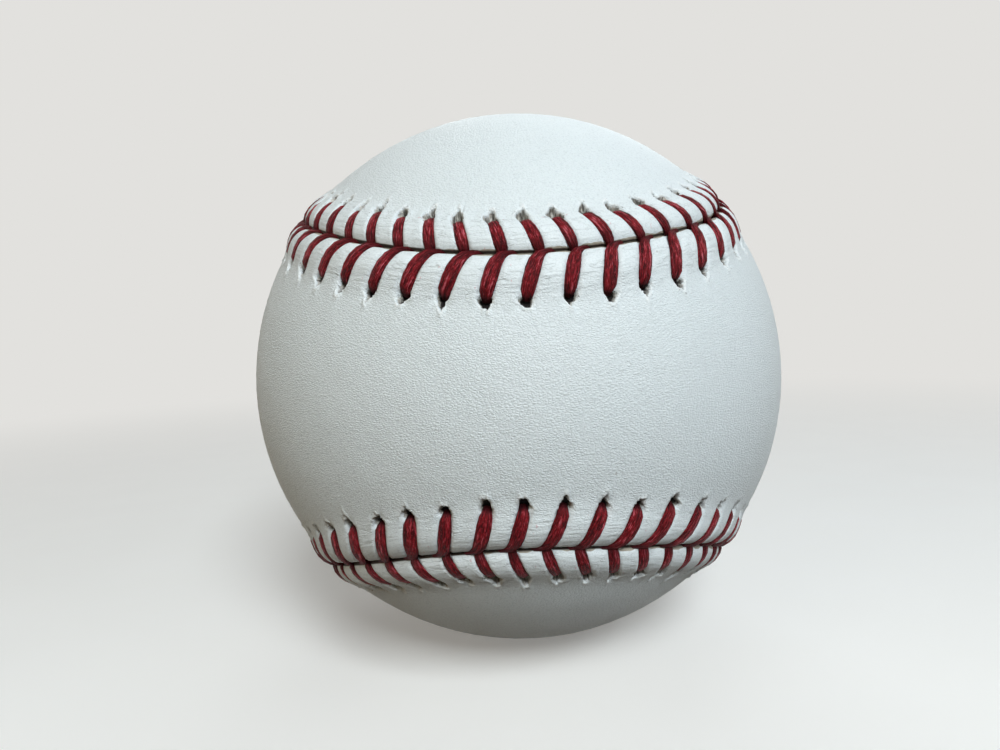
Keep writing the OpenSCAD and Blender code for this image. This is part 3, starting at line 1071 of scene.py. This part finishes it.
# %% [markdown]
# Four windings share that group. The wool yarns are thick, hairy and spun from mixed greys or from
# plain white, and the last winding is a fine hard cotton that gives the leather a smooth ground.

# %% Finish the four windings


def give_finish(material, *nodes):
    """Puts a material in the slots of solid nodes that stay as they are."""
    for node in nodes:
        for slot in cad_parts[node].material_slots:
            slot.material = material


def finish_winding(node, dark, light, gap, yarn_values, depth):
    """Mixed fibres between two colours, painted shade between the yarns, and a bump for each yarn.
    """
    material, tree, shader = new_material(node.removeprefix("winding_").replace("_", " "))
    place = object_place(tree)
    yarn = placed_group(wound_group, {"Place": place, **yarn_values})
    tone = mixed(yarn["Fibre"], dark, light)
    # Painted shade between the yarns.
    tone = layered(tone, [(noise(place, 120.0), 0.35, dark), (yarn["Gap"], 1.0, gap)])
    set_inputs(shader, {
        "Base Color": tone,
        "Normal": bumped((yarn["Height"], depth)),
        "Roughness": 0.92,
        "Specular IOR Level": 0.25,
        "Sheen Weight": 0.3,
    })
    give_finish(material, node)
    print("Finished:", material.name)


thick_yarn = {"Patches": 60.0, "Yarns": 770.0, "Fuzz": 4200.0}
thin_yarn = {"Patches": 75.0, "Yarns": 2600.0, "Fuzz": 7000.0}
wool_depth = 0.0005
cotton_depth = 0.00018
# The third colour of each winding is the painted shade between its yarns.
finish_winding("winding_inner_grey_wool", colour(96, 97, 99), colour(160, 159, 155),
               colour(52, 52, 54), thick_yarn, wool_depth)
finish_winding("winding_white_wool", colour(196, 190, 176), colour(232, 228, 216),
               colour(128, 120, 106), thick_yarn, wool_depth)
finish_winding("winding_outer_grey_wool", colour(112, 111, 108), colour(180, 177, 169),
               colour(62, 60, 58), thick_yarn, wool_depth)
finish_winding("winding_fine_cotton", colour(206, 201, 188), colour(238, 235, 226),
               colour(150, 143, 128), thin_yarn, cotton_depth)

# %% [markdown]
# The pill in the middle is cork crumb bound with a little rubber, in two black rubber cups that
# meet at a red washer, all in a red rubber skin. Moulded rubber is nearly plain, with cloudy
# mottling and a pale bloom. The crumb is the cell pattern again, with a tone of its own for each
# grain. Over the cotton lies a brushed coat of cement, amber where it is thick.

# %% Finish the pill and the cement


def rubber_material(name, deep, worn, bloom):
    """Moulded rubber: two cloudy tones and a thin pale bloom, with a fine matt skin."""
    material, tree, shader = new_material(name)
    place = object_place(tree)
    tone = mixed(noise(place, 260.0, 3.0, 0.6), deep, worn)
    haze = ramp(noise(place, 90.0, 4.0, 0.65), 0.50, 0.72)
    set_inputs(shader, {
        "Base Color": layered(tone, [(haze, 0.35, bloom)]),
        "Roughness": ramp(haze, 0.0, 1.0, 0.52, 0.72),
        "Normal": bumped((noise(place, 3000.0, 2.0, 0.6), 0.00003)),
    })
    return material


black_rubber = rubber_material(
    "black cup rubber", colour(26, 26, 29), colour(44, 44, 46), colour(96, 96, 96))
red_rubber = rubber_material(
    "red pill rubber", colour(132, 30, 28), colour(164, 46, 40), colour(196, 128, 116))
give_finish(black_rubber, "pill_black_shell_top", "pill_black_shell_bottom")
give_finish(red_rubber, "pill_washer", "pill_red_cover")

cork_material, tree, shader = new_material("cork crumb")
place = object_place(tree)
crumb_scale = 800.0
crumb = cell_pattern("F1", place, crumb_scale)
crumb_edge = cell_pattern("DISTANCE_TO_EDGE", place, crumb_scale)["Distance"]
grain_tone = add_node("ShaderNodeSeparateColor", {0: crumb["Color"]}).outputs
between = ramp(crumb_edge, 0.0, 0.09, 1.0, 0.0)
tone = mixed(grain_tone[0], colour(140, 98, 58), colour(206, 166, 116))
tone = layered(tone, [
    (ramp(grain_tone[1], 0.86, 0.88), 1.0, colour(52, 42, 38)),
    (noise(place, 2600.0, 3.0, 0.6), 0.35, colour(112, 74, 44)),
    (between, 0.7, colour(66, 46, 34)),
])
set_inputs(shader, {
    "Base Color": tone,
    "Normal": bumped((between, -0.00015)),
    "Roughness": 0.85,
})
give_finish(cork_material, "pill_core")

cement_material, tree, shader = new_material("brushed cement")
place = object_place(tree)
yarn = placed_group(wound_group, {"Place": place, **thin_yarn})
brush_marks = noise(stretched(place, (60.0, 60.0, 240.0)), 1.0, 3.0, 0.6)
thick = ramp(brush_marks, 0.35, 0.7)
tone = mixed(yarn["Gap"], colour(222, 212, 186), colour(196, 182, 148))
set_inputs(shader, {
    "Base Color": mixed(thick, tone, colour(190, 164, 112)),
    "Roughness": ramp(thick, 0.0, 1.0, 0.75, 0.38),
    "Normal": bumped((yarn["Height"], 0.00006)),
})
give_finish(cement_material, "cement_coat")
print("Materials:", len(bpy.data.materials))

# %% [markdown]
# The stage is a pale sheet that runs towards the back and curves up into a wall, so there is no
# horizon behind the ball. It is one profile carried sideways. The ball rests on it with the plain
# leather of a lobe. Near the ball the sheet takes its shadow, and further away it is a plain pale
# ground to the camera and to mirrored rays. The light that it throws back at the ball is dimmer and
# warmer, so that the ball keeps a darker underside.

# %% Set the stage
floor_z = -ball_r * MM
floor_front = -2.5
bend_start = 0.9
bend_r = 0.35
bend_rows = 25
wall_top = 3.0
half_width = 3.0
pale_air = colour(226, 225, 222)
black = colour(0, 0, 0)


def sweep_points():
    """A flat floor, a quarter circle and a wall: the profile, repeated at two sides, in metres."""
    angle = np.linspace(0.0, np.pi / 2.0, bend_rows)
    depth = np.concatenate([
        [floor_front],
        bend_start + bend_r * np.sin(angle),
        [bend_start + bend_r],
    ])
    rise = np.concatenate([[0.0], bend_r * (1.0 - np.cos(angle)), [wall_top]])
    wide = np.array([-half_width, half_width])
    x, y = np.meshgrid(wide, depth)
    z = np.meshgrid(wide, rise)[1] + floor_z
    return np.stack([x, y, z], axis=-1)


def seen_rays(tree):
    """1 for rays from the camera and for mirrored and refracted ones, 0 for those that light."""
    ray = add_node("ShaderNodeLightPath", {}, tree).outputs
    through = maths("MAXIMUM", ray["Is Glossy Ray"], ray["Is Transmission Ray"])
    return maths("MAXIMUM", ray["Is Camera Ray"], through)


sweep = sweep_points()
corner = np.arange(len(sweep) - 1) * 2
sweep_quads = np.stack([corner, corner + 1, corner + 3, corner + 2], axis=-1)
sweep_piece = mesh_object("pale_sweep", sweep.reshape(-1, 3), sweep_quads.tolist())
sweep_material, tree, shader = new_material("pale paper")
place = object_place(tree)
seen = seen_rays(tree)
far = ramp(vector_maths("LENGTH", place), 0.07, 0.42)
paper = mixed(noise(place, 60.0, 3.0, 0.6), colour(229, 228, 225), colour(234, 233, 230))
warm_ground = mixed(noise(place, 30.0), colour(60, 46, 28), colour(70, 56, 36))
lift = maths("MULTIPLY_ADD", far, 0.72, 0.28)
set_inputs(shader, {
    "Base Color": mixed(seen, warm_ground, mixed(far, paper, black)),
    "Emission Color": mixed(times(lift, seen), black, pale_air),
    "Emission Strength": 1.0,
    "Roughness": 0.9,
    "Specular IOR Level": 0.0,
})
sweep_piece.data.materials.append(sweep_material)
print("Sweep rows:", len(sweep))

# %% [markdown]
# The main light is a cool soft box above, in front and a little to the right. A weak warm one lifts
# the left side, a cool one lifts the right, and one behind the ball lights its back for other
# views. The air round the ball glows a little, and to the camera it is as pale as the sheet.

# %% Light the ball
lamp_upright = (0.0, 1.0, 0.02)
cool_tint = (0.885, 0.955, 1.0)
warm_tint = (1.0, 0.80, 0.50)
warm_air = (0.06, 0.054, 0.046, 1.0)


def soft_box(name, place, size, power, tint):
    """A square lamp of one tint at a place, turned to the middle of the ball."""
    lamp = bpy.data.lights.new(name, "AREA")
    lamp.shape = "SQUARE"
    lamp.size = size
    lamp.energy = power
    lamp.color = tint
    back = unit(np.array(place))
    right = unit(np.cross(lamp_upright, back))
    add_object(name, lamp).matrix_world = pose_matrix(right, np.cross(back, right), back, place)


soft_box("ceiling_box", (0.14, -0.50, 0.41), 0.26, 4.1, cool_tint)
soft_box("left_box", (-0.55, -0.35, 0.16), 0.40, 0.6, warm_tint)
soft_box("right_box", (0.60, -0.30, 0.30), 0.40, 0.55, cool_tint)
soft_box("back_box", (0.10, 0.60, 0.40), 0.50, 1.3, cool_tint)
world = bpy.data.worlds.new("soft air")
world.use_nodes = True
bpy.context.scene.world = world
tree = world.node_tree
air = {"Color": mixed(seen_rays(tree), warm_air, pale_air), "Strength": 1.0}
set_inputs(tree.nodes["Background"], air)
bpy.context.scene.view_settings.view_transform = "Standard"
print("Lamps:", [lamp.name for lamp in bpy.data.lights])
